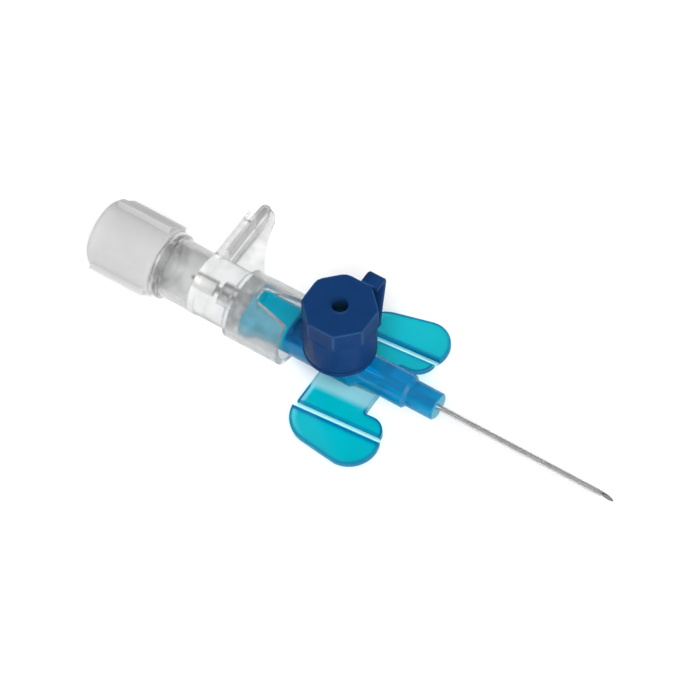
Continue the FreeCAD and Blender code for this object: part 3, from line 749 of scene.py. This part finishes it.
steel, tree = new_material("needle_steel")
where = put(tree, "ShaderNodeTexCoord")
stretch = put(tree, "ShaderNodeMapping", Scale=drawn_lines)
feed(tree, stretch.inputs["Vector"], where.outputs["Object"])
drawn = put(tree, "ShaderNodeTexNoise", Scale=1.0, Detail=3.0)
feed(tree, drawn.inputs["Vector"], stretch.outputs["Vector"])
bump = put(tree, "ShaderNodeBump", Strength=0.03, Distance=0.00002)
feed(tree, bump.inputs["Height"], drawn.outputs["Fac"])
face = put(tree, "ShaderNodeBsdfPrincipled", Metallic=1.0, Roughness=0.22)
feed(tree, face.inputs["Base Color"], tint(tree, drawn.outputs["Fac"], *steel_tones))
feed(tree, face.inputs["Normal"], bump.outputs["Normal"])
show(tree, face.outputs["BSDF"])
dress("needle", steel)

dress("needle_bond", even_finish(
    "adhesive", adhesive_tones, {"Roughness": 0.1, "Depth": 0.3}, adhesive_lamps,
    Transmission_Weight=0.5, IOR=1.46))


# Clear needle hub
# One clear polished moulding: sleeve over the cannula's luer, neck, finger grip with its web, and
# the flash chamber with its vent collar. Its real walls bend the light at every edge.
grip_front_x = -0.0364
grip_face_thick = 0.00045
grip_face_soft = 0.0001
grip_root_y = (0.0044, 0.0048)
grip_upper_z = (0.0002, 0.0006)
sleeve_rear_x = -0.0318
sleeve_r = 0.00505
sleeve_wall = 0.00085
wall_margin = 0.00003
neck_r = 0.0044
neck_rear_x = (grip_front_x - 0.0012, grip_front_x - 0.0004)
neck_front_x = (sleeve_rear_x + 0.0001, sleeve_rear_x - 0.0003)
clear_tones = ((0.45, 0.451, 0.448, 1), (0.86, 0.861, 0.858, 1))
neck_tones = ((0.50, 0.501, 0.498, 1), (0.74, 0.741, 0.738, 1))
grip_face_dark_reflection = (0.30, 0.30, 0.30, 1)
sleeve_edge_highlight = (0.82, 0.95, 1.0, 1)
clear_lamps = (0.93, 0.93, 0.935, 1)

clear, tree = new_material("clear_plastic")
_, x, y, z = place(tree)
squares = calc(tree, "MULTIPLY_ADD", y, y, times(tree, z, z))
grip_back_x = grip_front_x - grip_face_thick
in_face = times(tree, fade(tree, x, grip_back_x - grip_face_soft, grip_back_x),
                fade(tree, x, grip_front_x + grip_face_soft, grip_front_x))
in_tongue = times(tree, in_face, fade(tree, y, *grip_root_y))
in_neck = times(tree, fade(tree, x, *neck_rear_x), fade(tree, x, *neck_front_x))
in_neck = times(tree, in_neck, calc(tree, "LESS_THAN", squares, neck_r * neck_r))
inner_r, outer_r = sleeve_r - sleeve_wall + wall_margin, sleeve_r - wall_margin
in_wall = times(tree, fade(tree, squares, inner_r ** 2, (inner_r + 2 * wall_margin) ** 2),
                fade(tree, squares, outer_r ** 2, (outer_r - 2 * wall_margin) ** 2))
in_wall = times(tree, in_wall, calc(tree, "GREATER_THAN", x, sleeve_rear_x + 2 * sleeve_wall))
skin = put(tree, "ShaderNodeGroup", node_tree=skin_group, Roughness=0.2, Depth=0.15,
           Wave_Size=700.0, Roughness_Spread=0.06, Grain_Share=0.1)
colour = tint(tree, skin.outputs["Tone"], *clear_tones)
for mask, over in (
        (in_neck, tint(tree, skin.outputs["Tone"], *neck_tones)),
        # Painted reflection: the upper part of the grip tongue's front face is painted dark grey
        (times(tree, in_tongue, fade(tree, z, *grip_upper_z)), grip_face_dark_reflection),
        # Painted highlight on the cut ends of the sleeve's wall
        (in_wall, sleeve_edge_highlight)):
    colour = tint(tree, mask, colour, over)
plastic = surface(tree, colour, skin, Transmission_Weight=0.93, IOR=1.49, Specular_IOR_Level=0.25)
let_lamps_through(tree, plastic, clear_lamps)
dress("needle_hub", clear)


# Vent cap and its filter
# A frosted white luer-lock plug with a flat grip bar moulded across it, open through a porous disc
# that lets air out of the chamber but holds blood back.
frosted_tones = ((0.57, 0.57, 0.572, 1), (0.62, 0.62, 0.622, 1))
frosted_lamps = (0.6, 0.6, 0.6, 1)
filter_tones = ((0.72, 0.72, 0.70, 1), (0.88, 0.88, 0.86, 1))

dress("vent_cap", even_finish(
    "frosted_white", frosted_tones, {"Roughness": 0.45, "Depth": 0.4, "Roughness_Spread": 0.1},
    frosted_lamps, Transmission_Weight=0.25, IOR=1.49, Specular_IOR_Level=0.05,
    Subsurface_Weight=1.0, Subsurface_Radius=(1.0, 1.0, 1.0), Subsurface_Scale=0.004))

porous, tree = new_material("filter_white")
where = put(tree, "ShaderNodeTexCoord")
pores = put(tree, "ShaderNodeTexVoronoi", Scale=9000.0)
feed(tree, pores.inputs["Vector"], where.outputs["Object"])
bump = put(tree, "ShaderNodeBump", Strength=0.5, Distance=0.00005)
feed(tree, bump.inputs["Height"], pores.outputs["Distance"])
face = put(tree, "ShaderNodeBsdfPrincipled", Roughness=0.85)
feed(tree, face.inputs["Base Color"], tint(tree, pores.outputs["Distance"], *filter_tones))
feed(tree, face.inputs["Normal"], bump.outputs["Normal"])
show(tree, face.outputs["BSDF"])
dress("vent_filter", porous)
